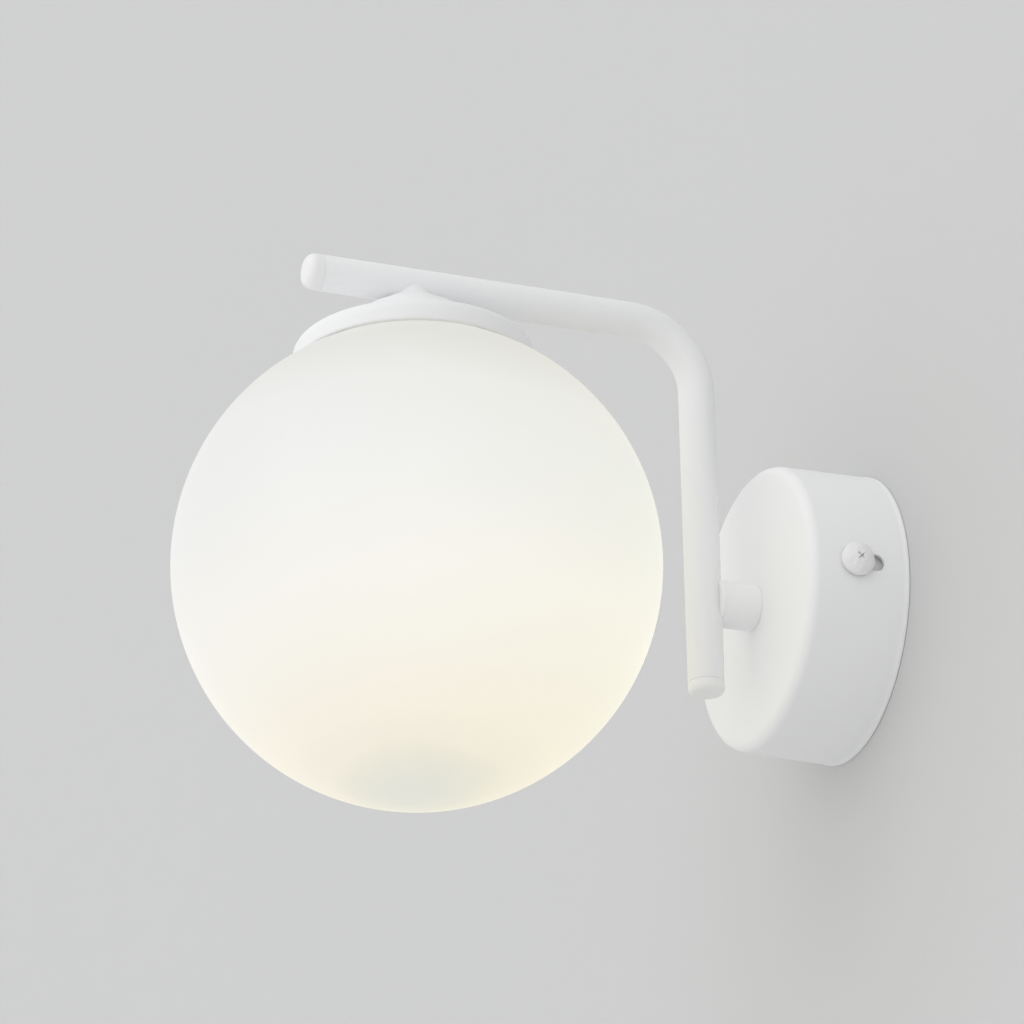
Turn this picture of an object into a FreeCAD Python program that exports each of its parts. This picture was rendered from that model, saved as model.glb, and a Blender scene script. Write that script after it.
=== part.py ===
import FreeCAD
import Part
import Sketcher
import math
import os
import re

# Globe wall sconce. The wall is the plane Y = 0, the room lies towards -Y and +Z is up.
# The origin is the centre of the canopy's back. All sizes are in millimetres.

sizes = {
    # canopy: a drafted cup, open to the wall
    "canopy_depth": 32.6,
    "canopy_rear": 45.25,
    "canopy_front": 44.7,
    "canopy_wall": 1.2,
    "canopy_edge": 3.4,
    "canopy_bead": 0.2,
    "slot_width": 5.5,
    "slot_near": 8.3,
    "slot_far": 20.6,
    # canopy screws, M5 pan head
    "screw_line": 17.5,
    "screw_seat": 45.3,
    "screw_tip": 36.0,
    "screw_radius": 2.5,
    "head_radius": 5.15,
    "head_height": 3.6,
    # crossbar on the wall
    "bar_thick": 1.8,
    "bar_half": 10.0,
    "ear_outer": 42.6,
    "ear_length": 24.0,
    "ear_half": 6.5,
    "wall_spacing": 60.0,
    "wall_slot": 12.0,
    "wall_hole": 2.25,
    "grommet_hole": 6.6,
    "grommet_bore": 4.0,
    # threaded tubes M10 x 1
    "thread_radius": 5.0,
    "thread_bore": 3.5,
    "thread_clear": 5.05,
    "nut_flats": 14.0,
    # terminal plate and block inside the canopy
    "plate_thick": 1.2,
    "plate_half": 12.0,
    "plate_reach": 37.0,
    "pole_pitch": 5.0,
    "block_low": 13.0,
    "block_high": 29.0,
    "block_top": 14.5,
    "tab_thick": 2.2,
    "wire_line": 19.0,
    # stub and arm
    "stub_radius": 7.4,
    "stub_end": 40.9,
    "saddle_end": 45.9,
    "tube_line": 49.28,
    "tube_radius": 5.7,
    "tube_bore": 4.5,
    "tube_foot": 27.4,
    "tube_bend": 21.9,
    "rod_height": 92.95,
    "rod_end": 174.8,
    "rod_cap": 5.1,
    "foot_cap": 3.6,
    "spigot_radius": 4.4,
    # globe
    "globe_line": 144.25,
    "globe_drop": 1.5,
    "globe_radius": 75.0,
    "glass_wall": 2.6,
    "neck_outer": 21.0,
    "neck_inner": 17.5,
    "neck_top": 76.2,
    # dish over the globe
    "dish_radius": 37.2,
    "dish_rim": 64.9,
    "dish_shoulder": 68.4,
    "dish_top": 72.3,
    "dish_wall": 1.2,
    "dish_hole": 8.0,
    "boss_seat": 86.9,
    # inner stack of the dish
    "stack_top": 84.9,
    "spring_level": 78.6,
    "spring_plate": 15.9,
    # lampholder and lamp
    "holder_top": 70.0,
    "holder_foot": 46.0,
    "holder_half": 9.2,
    "pin_pitch": 4.5,
    "lamp_base": 45.6,
    "lamp_neck": 34.0,
    "lamp_tip": 4.0,
    "lamp_radius": 8.0,
    # wiring
    "wire_radius": 0.85,
    "wire_offset": 2.5,
}

document = FreeCAD.newDocument("globe_wall_sconce")
sheet = document.addObject("Spreadsheet::Sheet", "sizes")
for row, (alias, value) in enumerate(sizes.items(), 1):
    sheet.set("A%d" % row, alias)
    sheet.set("B%d" % row, str(value))
    sheet.setAlias("B%d" % row, alias)
document.recompute()

parts = []


def bound(text):
    """An expression with every size name led to its cell."""
    return re.sub(r"\b[a-z]+(?:_[a-z]+)+\b", r"sizes.\g<0>", str(text))


def number(text):
    return float(sheet.evalExpression(bound(text)))


def bind(target, path, text):
    if re.search(r"[a-z]_[a-z]", str(text)):
        target.setExpression(path, bound(text))


def newBody(name, x="0", y="0", z="0", rotation=None):
    body = document.addObject("PartDesign::Body", name)
    body.Label = name
    turn = rotation or FreeCAD.Rotation()
    body.Placement = FreeCAD.Placement(FreeCAD.Vector(number(x), number(y), number(z)), turn)
    bind(body, "Placement.Base.x", x)
    bind(body, "Placement.Base.y", y)
    bind(body, "Placement.Base.z", z)
    parts.append(body)
    return body


def newSketch(body, plane, lift="0"):
    sketch = body.newObject("Sketcher::SketchObject", body.Name + "_sketch")
    support = [item for item in body.Origin.OriginFeatures if item.Role == plane + "_Plane"][0]
    sketch.AttachmentSupport = [(support, "")]
    sketch.MapMode = "FlatFace"
    sketch.AttachmentOffset = FreeCAD.Placement(FreeCAD.Vector(0, 0, number(lift)), FreeCAD.Rotation())
    bind(sketch, "AttachmentOffset.Base.z", lift)
    sketch.Visibility = False
    return sketch


def measure(sketch, kind, where, text):
    index = sketch.addConstraint(Sketcher.Constraint(kind, *where, number(text)))
    bind(sketch, "Constraints[%d]" % index, text)


def pin(sketch, edge, end, x, y):
    measure(sketch, "DistanceX", (-1, 1, edge, end), x)
    measure(sketch, "DistanceY", (-1, 1, edge, end), y)


def circle(sketch, x, y, radius):
    centre = FreeCAD.Vector(number(x), number(y), 0)
    edge = sketch.addGeometry(Part.Circle(centre, FreeCAD.Vector(0, 0, 1), number(radius)), False)
    pin(sketch, edge, 3, x, y)
    measure(sketch, "Radius", (edge,), radius)


def bow(sketch, start, finish, side, radius):
    """An arc from start to finish with its centre on the given side of the way."""
    chord = finish - start
    height = math.sqrt(max(radius ** 2 - chord.Length ** 2 / 4, 0))
    across = FreeCAD.Vector(-chord.y, chord.x, 0).normalize()
    if side == "right":
        across = across.negative()
    centre = (start + finish) * 0.5 + across * height
    first, last = (start, finish) if side == "left" else (finish, start)
    angles = [math.atan2(point.y - centre.y, point.x - centre.x) for point in (first, last)]
    if angles[1] <= angles[0]:
        angles[1] += 2 * math.pi
    full = Part.Circle(centre, FreeCAD.Vector(0, 0, 1), radius)
    edge = sketch.addGeometry(Part.ArcOfCircle(full, angles[0], angles[1]), False)
    return (edge, 1, 2) if side == "left" else (edge, 2, 1)


def trace(sketch, corners, closed=True):
    """An outline through corners. A corner may add the side and radius of the arc that leaves it."""
    points = [FreeCAD.Vector(number(corner[0]), number(corner[1]), 0) for corner in corners]
    count = len(corners) if closed else len(corners) - 1
    edges = []
    for i in range(count):
        start, finish = points[i], points[(i + 1) % len(points)]
        if len(corners[i]) == 2:
            edges.append((sketch.addGeometry(Part.LineSegment(start, finish), False), 1, 2))
            continue
        side, radius = corners[i][2:]
        edges.append(bow(sketch, start, finish, side, number(radius)))
        measure(sketch, "Radius", (edges[-1][0],), radius)
    for i in range(0 if closed else 1, count):
        before, after = edges[i - 1], edges[i]
        sketch.addConstraint(Sketcher.Constraint("Coincident", before[0], before[2], after[0], after[1]))
    for edge, corner in zip(edges, corners):
        pin(sketch, edge[0], edge[1], corner[0], corner[1])
    if not closed:
        pin(sketch, edges[-1][0], edges[-1][2], corners[-1][0], corners[-1][1])


def box(sketch, x0, y0, x1, y1):
    trace(sketch, [(x0, y0), (x1, y0), (x1, y1), (x0, y1)])


def slot(sketch, x0, x1, y, radius):
    """A slot along the sketch's first axis, given by the centres of its two round ends."""
    ends = []
    for x, first in ((x0, math.pi / 2), (x1, -math.pi / 2)):
        centre = FreeCAD.Vector(number(x), number(y), 0)
        full = Part.Circle(centre, FreeCAD.Vector(0, 0, 1), number(radius))
        ends.append(sketch.addGeometry(Part.ArcOfCircle(full, first, first + math.pi), False))
        pin(sketch, ends[-1], 3, x, y)
    low, high = number(y) - number(radius), number(y) + number(radius)
    spans = ((low, (0, 2), (1, 1)), (high, (1, 2), (0, 1)))
    for level, left, right in spans:
        points = [FreeCAD.Vector(number(x), level, 0) for x in (x0, x1)]
        if left[0] == 1:
            points.reverse()
        edge = sketch.addGeometry(Part.LineSegment(*points), False)
        sketch.addConstraint(Sketcher.Constraint("Tangent", ends[left[0]], left[1], edge, 1))
        sketch.addConstraint(Sketcher.Constraint("Tangent", edge, 2, ends[right[0]], right[1]))
    measure(sketch, "Radius", (ends[0],), radius)


def grow(body, kind, sketch, length, middle=False, reverse=False):
    before = body.Tip.Shape.Volume if kind == "Pocket" else 0
    feature = body.newObject("PartDesign::" + kind, body.Name + "_" + kind.lower())
    feature.Profile = sketch
    feature.SideType = "Symmetric" if middle else "One side"
    feature.Reversed = reverse
    feature.Length = number(length)
    bind(feature, "Length", length)
    body.Tip = feature
    document.recompute()
    if kind == "Pocket" and feature.Shape.Volume > before - 1e-3:
        raise ValueError(body.Name + ": a pocket that cuts nothing")
    return feature


def turn(body, sketch, kind="Revolution"):
    feature = body.newObject("PartDesign::" + kind, body.Name + "_" + kind.lower())
    feature.Profile = sketch
    feature.ReferenceAxis = (sketch, ["V_Axis"])
    feature.Angle = 360
    body.Tip = feature
    document.recompute()
    return feature


def soften(body, radius, chosen, kind="Fillet"):
    """Round or bevel the edges that the test picks by their centre and size."""
    base = body.Tip
    names = []
    for i, edge in enumerate(base.Shape.Edges, 1):
        if not edge.Degenerated and chosen(edge):
            names.append("Edge%d" % i)
    if not names:
        raise ValueError(body.Name + ": no edge to soften")
    feature = body.newObject("PartDesign::" + kind, body.Name + "_" + kind.lower())
    feature.Base = (base, names)
    path = "Radius" if kind == "Fillet" else "Size"
    setattr(feature, path, number(radius))
    bind(feature, path, radius)
    body.Tip = feature
    document.recompute()
    return feature


def ringEdge(level, radius, axis, slack=0.05):
    """A test for a full circle about a main axis at a level and of a radius."""
    def chosen(edge):
        curve = edge.Curve
        if not isinstance(curve, Part.Circle) or not edge.isClosed():
            return False
        return abs(getattr(curve.Center, axis) - level) < slack and abs(curve.Radius - radius) < slack
    return chosen


def spun(name, corners, axis="z", x="0", y="0", z="0"):
    """A turned or spun piece; its outline is given as radius and level along the axis."""
    body = newBody(name, x, y, z)
    sketch = newSketch(body, "XZ" if axis == "z" else "XY")
    trace(sketch, corners)
    turn(body, sketch)
    return body


def piped(name, plane, lift, path, start, shapes):
    """A round bar or tube along a path in one plane; start is the plane and level of its first end."""
    body = newBody(name)
    spine = newSketch(body, plane, lift)
    trace(spine, path, closed=False)
    profile = newSketch(body, start[0], start[1])
    for x, y, radius in shapes:
        circle(profile, x, y, radius)
    document.recompute()
    pipe = body.newObject("PartDesign::AdditivePipe", name + "_pipe")
    pipe.Profile = profile
    pipe.Spine = (spine, ["Edge%d" % i for i in range(1, len(path))])
    body.Tip = pipe
    document.recompute()
    return body


def hexagon(sketch, flats, x="0", y="0"):
    corners = []
    for i in range(6):
        angle = math.radians(60 * i + 30)
        reach = "%s / 2 / cos(30)" % flats
        corners.append(("%s + %s * %.9f" % (x, reach, math.cos(angle)),
                        "%s + %s * %.9f" % (y, reach, math.sin(angle))))
    trace(sketch, corners)


# ---- canopy and what it hides ----

def makeCanopyCup():
    body = spun("canopy_cup", [
        ("thread_clear + 0.15", "-canopy_depth"),
        ("canopy_front", "-canopy_depth"),
        ("canopy_rear - 0.02", "-1.5"),
        ("canopy_rear + canopy_bead", "-0.9"),
        ("canopy_rear + canopy_bead", "0"),
        ("canopy_rear - canopy_wall", "0"),
        ("canopy_front - canopy_wall", "canopy_wall - canopy_depth"),
        ("thread_clear + 0.15", "canopy_wall - canopy_depth"),
    ], "y")
    front = number("canopy_front")
    depth = number("canopy_depth")
    wall = number("canopy_wall")
    soften(body, "canopy_edge", ringEdge(-depth, front, "y"))
    soften(body, "canopy_edge - canopy_wall", ringEdge(wall - depth, front - wall, "y"))
    sketch = newSketch(body, "YZ")
    slot(sketch, "slot_width / 2 - slot_far", "-slot_near - slot_width / 2", "0", "slot_width / 2")
    grow(body, "Pocket", sketch, "4 * canopy_rear", middle=True)


def makeWallBracket():
    body = newBody("wall_bracket")
    sketch = newSketch(body, "XY")
    inner = "ear_outer - bar_thick"
    trace(sketch, [
        ("-ear_outer", "0"),
        ("-ear_outer", "-ear_length"),
        ("-(%s)" % inner, "-ear_length"),
        ("-(%s)" % inner, "-bar_thick"),
        (inner, "-bar_thick"),
        (inner, "-ear_length"),
        ("ear_outer", "-ear_length"),
        ("ear_outer", "0"),
    ])
    grow(body, "Pad", sketch, "2 * bar_half", middle=True)
    corner = number("ear_outer")
    inside = number(inner)
    thick = number("bar_thick")

    def outerBend(edge):
        middle = edge.CenterOfMass
        return abs(abs(middle.x) - corner) < 0.01 and abs(middle.y) < 0.01 and edge.Length > 15

    def innerBend(edge):
        middle = edge.CenterOfMass
        return abs(abs(middle.x) - inside) < 0.01 and abs(middle.y + thick) < 0.01 and edge.Length > 15

    soften(body, "bar_thick + 0.8", outerBend)
    soften(body, "0.8", innerBend)
    trim = newSketch(body, "XZ")
    for side in ("", "-"):
        for level in ("", "-"):
            box(trim, side + "37.5", level + "ear_half", side + "44", level + "(bar_half + 1)")
    slot(trim, "-wall_spacing / 2 - wall_slot / 2 + wall_hole", "-wall_spacing / 2 + wall_slot / 2 - wall_hole",
         "0", "wall_hole")
    slot(trim, "wall_spacing / 2 - wall_slot / 2 + wall_hole", "wall_spacing / 2 + wall_slot / 2 - wall_hole",
         "0", "wall_hole")
    circle(trim, "0", "0", "grommet_hole")
    grow(body, "Pocket", trim, "4 * ear_length", middle=True)
    tapped = newSketch(body, "YZ")
    circle(tapped, "-screw_line", "0", "screw_radius + 0.05")
    grow(body, "Pocket", tapped, "4 * ear_outer", middle=True)


def makeMainsGrommet():
    body = spun("mains_grommet", [
        ("grommet_bore", "-0.1"),
        ("grommet_bore", "-bar_thick - 2.4"),
        ("grommet_bore + 3.2", "-bar_thick - 2.0"),
        ("grommet_bore + 4.6", "-bar_thick - 1.2"),
        ("grommet_bore + 4.6", "-bar_thick"),
        ("grommet_hole - 0.05", "-bar_thick"),
        ("grommet_hole - 0.05", "-0.1"),
    ], "y")
    return body


def panScrew(name, x, y, z, rotation, shaft, length, head, height, recess):
    """A pan-head screw; its local +Z points out of the head and its origin is under the head."""
    body = newBody(name, x, y, z, rotation)
    sketch = newSketch(body, "XZ")
    trace(sketch, [
        ("0", "-(%s)" % length),
        ("%s - 0.5" % shaft, "-(%s)" % length),
        (shaft, "0.5 - (%s)" % length),
        (shaft, "0"),
        (head, "0"),
        (head, "(%s) * 0.35" % height, "left", "(%s) * 1.25" % head),
        ("0", height),
    ])
    turn(body, sketch)
    arms = newSketch(body, "XY", "(%s) + 0.5" % height)
    wide = "%.4f" % (0.18 * recess)
    far = "%.4f" % recess
    trace(arms, [
        (far, "-" + wide), (far, wide), (wide, wide), (wide, far), ("-" + wide, far), ("-" + wide, wide),
        ("-" + far, wide), ("-" + far, "-" + wide), ("-" + wide, "-" + wide), ("-" + wide, "-" + far),
        (wide, "-" + far), (wide, "-" + wide),
    ])
    grow(body, "Pocket", arms, "(%s) * 0.55 + 0.5" % height)
    return body


def makeCanopyScrews():
    for name, x, angle in (("canopy_screw_right", "screw_seat", 90), ("canopy_screw_left", "-screw_seat", -90)):
        panScrew(name, x, "-screw_line", "0", FreeCAD.Rotation(FreeCAD.Vector(0, 1, 0), angle),
                 "screw_radius", "screw_seat - screw_tip", "head_radius", "head_height", 2.9)


def makeTerminalPlate():
    body = newBody("terminal_plate")
    sketch = newSketch(body, "XZ", "canopy_depth - canopy_wall - plate_thick")
    box(sketch, "-plate_half", "-plate_reach", "plate_half", "plate_reach")
    circle(sketch, "0", "0", "thread_clear")
    circle(sketch, "1.5 * pole_pitch", "-22", "2.0")
    circle(sketch, "0", "block_high + 3.5", "1.3")
    grow(body, "Pad", sketch, "plate_thick")
    reach = number("plate_reach")

    def corner(edge):
        middle = edge.CenterOfMass
        return abs(abs(middle.z) - reach) < 0.01 and abs(edge.Length - number("plate_thick")) < 0.01

    soften(body, "3", corner)


def makeTerminalBlock():
    body = newBody("terminal_block")
    foot = "canopy_depth - canopy_wall - plate_thick"
    sketch = newSketch(body, "XY", "block_low")
    box(sketch, "-pole_pitch - 1.25", "-(%s)" % foot, "2 * pole_pitch + 1.25", "-block_top")
    grow(body, "Pad", sketch, "block_high - block_low")
    tab = newSketch(body, "XZ", foot + " - tab_thick")
    box(tab, "-3.5", "block_high - 1", "3.5", "block_high + 7")
    circle(tab, "0", "block_high + 3.5", "1.35")
    grow(body, "Pad", tab, "tab_thick")
    ways = newSketch(body, "XY", "block_low - 1")
    for x in ("-pole_pitch / 2", "pole_pitch / 2", "3 * pole_pitch / 2"):
        box(ways, x + " - 1.85", "-wire_line - 1.85", x + " + 1.85", "1.85 - wire_line")
    grow(body, "Pocket", ways, "block_high - block_low + 2", reverse=True)
    funnels = newSketch(body, "XZ", "block_top")
    for x in ("-pole_pitch / 2", "pole_pitch / 2", "3 * pole_pitch / 2"):
        for z in ("block_low + 4", "block_high - 4"):
            circle(funnels, x, z, "1.65")
    grow(body, "Pocket", funnels, "4", reverse=True)


def makeFixingScrew():
    lyingScrew("terminal_fixing_screw", "0", "block_high + 3.5", "canopy_depth - canopy_wall - plate_thick - tab_thick",
               "1.25", "tab_thick + 0.9", "2.4", "1.7", 1.3)


def makeTerminalSleeves():
    body = newBody("terminal_sleeves")
    sketch = newSketch(body, "XY", "block_low + 0.6")
    for x in ("-pole_pitch / 2", "pole_pitch / 2", "3 * pole_pitch / 2"):
        box(sketch, x + " - 1.75", "-wire_line - 1.75", x + " + 1.75", "1.75 - wire_line")
        circle(sketch, x, "-wire_line", "1.2")
    grow(body, "Pad", sketch, "block_high - block_low - 1.2")


def makeTerminalScrews():
    body = newBody("terminal_screws")
    sketch = newSketch(body, "XZ", "block_top + 0.6")
    slots = []
    for x in ("-pole_pitch / 2", "pole_pitch / 2", "3 * pole_pitch / 2"):
        for z in ("block_low + 4", "block_high - 4"):
            circle(sketch, x, z, "1.45")
            slots.append((x, z))
    grow(body, "Pad", sketch, "2.0")
    grooves = newSketch(body, "XZ", "block_top + 0.6")
    for x, z in slots:
        box(grooves, x + " - 1.7", z + " - 0.25", x + " + 1.7", z + " + 0.25")
    grow(body, "Pocket", grooves, "0.7", reverse=True)


def lyingScrew(name, x, z, seat, shaft, length, head, height, recess):
    """A screw driven towards the room through something inside the canopy; its head faces the wall."""
    toWall = FreeCAD.Rotation(FreeCAD.Vector(1, 0, 0), -90)
    return panScrew(name, x, "-(%s)" % seat, z, toWall, shaft, length, head, height, recess)


def makeEarthParts():
    top = "canopy_depth - canopy_wall - plate_thick"
    lyingScrew("earth_screw", "1.5 * pole_pitch", "-22", top + " - 0.8", "1.95", "2.0", "3.7", "2.4", 2.0)
    lug = newBody("earth_lug")
    ring = newSketch(lug, "XZ", top + " - 0.8")
    circle(ring, "1.5 * pole_pitch", "-22", "3.9")
    circle(ring, "1.5 * pole_pitch", "-22", "2.05")
    grow(lug, "Pad", ring, "0.8")
    tongue = newSketch(lug, "XZ", top + " - 0.8")
    box(tongue, "1.5 * pole_pitch - 1.3", "-19.2", "1.5 * pole_pitch + 1.3", "-17.0")
    grow(lug, "Pad", tongue, "0.8")
    barrel = newSketch(lug, "XY", "-17.6")
    circle(barrel, "1.5 * pole_pitch", "-28.6", "1.5")
    circle(barrel, "1.5 * pole_pitch", "-28.6", "wire_radius + 0.05")
    grow(lug, "Pad", barrel, "3.4")


def threadedTube(name, axis, low, high, x="0", y="0"):
    """A hollow tube with an M10 thread, drawn at its outer size, with bevelled ends."""
    body = spun(name, [
        ("thread_bore", low),
        ("thread_radius - 0.6", low),
        ("thread_radius", "(%s) + 0.6" % low),
        ("thread_radius", "(%s) - 0.6" % high),
        ("thread_radius - 0.6", high),
        ("thread_bore", high),
    ], axis, x, y)
    return body


def hexNut(name, plane, level, height, y="0"):
    body = newBody(name, "0", y)
    sketch = newSketch(body, plane, level)
    hexagon(sketch, "nut_flats")
    circle(sketch, "0", "0", "thread_clear")
    grow(body, "Pad", sketch, height)
    return body


def makeEntryStack():
    threadedTube("entry_nipple", "y", "-43.2", "-24.5")
    hexNut("entry_nut", "XZ", "25.3", "4")
    washer = newBody("entry_washer")
    sketch = newSketch(washer, "XZ", "29.3")
    count = 12
    corners = []
    for i in range(count):
        for shift, reach in ((0.0, "thread_radius + 2.2"), (0.2, "thread_radius + 3.4"),
                             (0.5, "thread_radius + 3.4"), (0.7, "thread_radius + 2.2")):
            angle = 2 * math.pi * (i + shift) / count
            corners.append(("(%s) * %.9f" % (reach, math.cos(angle)), "(%s) * %.9f" % (reach, math.sin(angle))))
    trace(sketch, corners)
    circle(sketch, "0", "0", "thread_clear + 0.1")
    grow(washer, "Pad", sketch, "0.9")


# ---- stub and arm ----

def makeStub():
    spun("stub_collar", [
        ("thread_clear", "-canopy_depth"),
        ("thread_clear", "-stub_end"),
        ("stub_radius - 0.15", "-stub_end"),
        ("stub_radius", "0.15 - stub_end"),
        ("stub_radius", "-canopy_depth"),
    ], "y")
    saddle = spun("stub_saddle", [
        ("thread_clear", "-stub_end"),
        ("stub_radius", "-stub_end"),
        ("stub_radius", "-saddle_end"),
        ("thread_bore + 0.2", "-saddle_end"),
        ("thread_bore + 0.2", "tube_radius - tube_line"),
        ("thread_clear", "tube_radius - tube_line"),
    ], "y")
    cope = newSketch(saddle, "XY")
    circle(cope, "0", "-tube_line", "tube_radius")
    grow(saddle, "Pocket", cope, "60", middle=True)


def makeArmTube():
    bendStart = "rod_height - tube_bend"
    path = [
        ("-tube_line", "-tube_foot"),
        ("-tube_line", bendStart, "left", "tube_bend"),
        ("-tube_line - tube_bend", "rod_height"),
        ("-rod_end", "rod_height"),
    ]
    body = piped("arm_tube", "YZ", "0", path, ("XY", "-tube_foot"),
                 [("0", "-tube_line", "tube_radius"), ("0", "-tube_line", "tube_bore")])
    stubHole = newSketch(body, "XZ", "tube_line - tube_radius - 1")
    circle(stubHole, "0", "0", "thread_bore + 0.2")
    grow(body, "Pocket", stubHole, "tube_radius", reverse=True)
    dropHole = newSketch(body, "XY", "rod_height - tube_radius - 1")
    circle(dropHole, "0", "-globe_line", "thread_bore + 0.2")
    grow(body, "Pocket", dropHole, "tube_radius", reverse=True)


def tubeEnd(name, axis, seat, outer, rim, y="0", z="0"):
    """A plug: a head flush with the tube and a spigot inside it."""
    body = spun(name, [
        ("0", seat + " - " + outer),
        ("tube_radius", seat + " - " + outer),
        ("tube_radius", seat + " - 0.25"),
        ("tube_radius - 0.25", seat),
        ("spigot_radius", seat),
        ("spigot_radius", seat + " + 6"),
        ("0", seat + " + 6"),
    ], axis, "0", y, z)
    level = number(seat + " - " + outer)
    soften(body, rim, ringEdge(level, number("tube_radius"), axis))


def makeArmPlugs():
    tubeEnd("tube_cap", "z", "-tube_foot", "foot_cap", "1.6", y="-tube_line")
    tubeEnd("rod_cap", "y", "-rod_end", "rod_cap", "2.5", z="rod_height")


# ---- dish and inner stack ----

def makeDish():
    cup = spun("holder_cup", [
        ("dish_radius - dish_wall", "dish_rim"),
        ("dish_radius", "dish_rim"),
        ("dish_radius + 0.15", "dish_shoulder", "left", "3.9"),
        ("dish_radius - 3.8", "dish_top"),
        ("28.5", "dish_top + 1.3", "right", "26"),
        ("16", "83.0", "right", "60"),
        ("11", "boss_seat"),
        ("dish_hole", "boss_seat"),
        ("dish_hole", "boss_seat - dish_wall"),
        ("10.3", "boss_seat - dish_wall"),
        ("15.2", "81.95", "left", "26.8"),
        ("28.1", "dish_top + 0.1"),
        ("dish_radius - 4.0", "dish_top - dish_wall", "right", "2.7"),
        ("dish_radius - 1.05", "dish_shoulder"),
    ], y="-globe_line")
    boss = spun("neck_boss", [
        ("thread_clear", "stack_top"),
        ("dish_hole - 0.1", "stack_top"),
        ("dish_hole - 0.1", "boss_seat"),
        ("10.2", "boss_seat", "right", "5"),
        ("6.5", "89.4", "right", "9"),
        ("5.7", "90.9"),
        ("thread_clear", "90.9"),
    ], y="-globe_line")
    cope = newSketch(boss, "XZ")
    circle(cope, "0", "rod_height", "tube_radius")
    grow(boss, "Pocket", cope, "80", middle=True)
    return cup


def makeInnerStack():
    threadedTube("holder_nipple", "z", "73.8", "87.0", y="-globe_line")
    spun("distance_sleeve", [
        ("thread_clear", "spring_level + 1"),
        ("7.2", "spring_level + 1"),
        ("7.2", "stack_top"),
        ("thread_clear", "stack_top"),
    ], y="-globe_line")
    hexNut("holder_nut", "XY", "spring_level - 4", "3", y="-globe_line")
    plate = newBody("spring_plate", "0", "-globe_line")
    sketch = newSketch(plate, "XY", "spring_level")
    circle(sketch, "0", "0", "spring_plate")
    circle(sketch, "0", "0", "thread_clear")
    for angle in (90, 210, 330):
        x = "%.6f" % (13.7 * math.cos(math.radians(angle)))
        y = "%.6f" % (13.7 * math.sin(math.radians(angle)))
        circle(sketch, x, y, "1.05")
    grow(plate, "Pad", sketch, "1")


def polar(body, count=3):
    pads = [item for item in body.Group if item.isDerivedFrom("PartDesign::Pad")]
    pattern = body.newObject("PartDesign::PolarPattern", body.Name + "_pattern")
    pattern.Originals = pads
    axis = [item for item in body.Origin.OriginFeatures if item.Role == "Z_Axis"][0]
    pattern.Axis = (axis, [""])
    pattern.Angle = 360
    pattern.Occurrences = count
    body.Tip = pattern
    document.recompute()


def makeGlobeSprings():
    """Leaf springs: a foot on the plate, a leg past its edge and a bow that bears on the glass neck."""
    body = newBody("globe_springs", "0", "-globe_line")
    sketch = newSketch(body, "YZ")
    top = "spring_level + 1"
    trace(sketch, [
        ("9.6", top),
        ("16.2", top),
        ("16.2", "77.2"),
        ("16.75", "73.6"),
        ("16.75", "71.4"),
        ("15.0", "67.6"),
        ("15.4", "67.4"),
        ("17.2", "71.2"),
        ("17.2", "73.8"),
        ("16.65", "77.4"),
        ("16.65", top + " + 0.05"),
        ("16.25", top + " + 0.45"),
        ("9.6", top + " + 0.45"),
    ])
    grow(body, "Pad", sketch, "5", middle=True)
    polar(body)


def makeSpringRivets():
    body = newBody("spring_rivets", "0", "-globe_line")
    sketch = newSketch(body, "XY", "spring_level - 0.7")
    circle(sketch, "0", "13.7", "1.5")
    grow(body, "Pad", sketch, "0.7")
    shank = newSketch(body, "XY", "spring_level")
    circle(shank, "0", "13.7", "1.0")
    grow(body, "Pad", shank, "1")
    polar(body)


def makeSeatRing():
    spun("seat_ring", [
        ("31.2", "67.3"),
        ("35.4", "65.3"),
        ("35.4", "69.4"),
        ("33.2", "70.8"),
        ("31.2", "71.3"),
    ], y="-globe_line")


# ---- lampholder and lamp ----

def makeLampholder():
    bracket = newBody("lampholder_bracket", "0", "-globe_line")
    sketch = newSketch(bracket, "XZ")
    trace(sketch, [
        ("-10.4", "61"),
        ("-9.4", "61"),
        ("-9.4", "spring_level - 1"),
        ("9.4", "spring_level - 1"),
        ("9.4", "61"),
        ("10.4", "61"),
        ("10.4", "spring_level"),
        ("-10.4", "spring_level"),
    ])
    grow(bracket, "Pad", sketch, "12", middle=True)
    hole = newSketch(bracket, "XY", "75")
    circle(hole, "0", "0", "thread_clear")
    grow(bracket, "Pocket", hole, "6", reverse=True)
    sides = newSketch(bracket, "YZ")
    circle(sides, "0", "64.5", "1.6")
    grow(bracket, "Pocket", sides, "40", middle=True)

    body = newBody("lampholder_body", "0", "-globe_line")
    outline = newSketch(body, "XY", "holder_foot")
    box(outline, "-holder_half", "-6.5", "holder_half", "6.5")
    grow(body, "Pad", outline, "holder_top - holder_foot")

    def upright(edge):
        middle = edge.CenterOfMass
        tall = number("holder_top - holder_foot")
        return abs(edge.Length - tall) < 0.01 and abs(abs(middle.y) - 6.5) < 0.01

    soften(body, "3", upright)
    wells = newSketch(body, "XY", "holder_foot")
    for x in ("-pin_pitch", "pin_pitch"):
        box(wells, x + " - 1.9", "-2.6", x + " + 1.9", "2.6")
    grow(body, "Pocket", wells, "14", reverse=True)
    ways = newSketch(body, "XY", "holder_top")
    for x in ("-wire_offset", "wire_offset"):
        circle(ways, x, "0", "wire_radius + 0.25")
    grow(body, "Pocket", ways, "8")
    tapped = newSketch(body, "YZ")
    circle(tapped, "0", "64.5", "1.3")
    through = grow(body, "Pocket", tapped, "40", middle=True)
    return through


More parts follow.
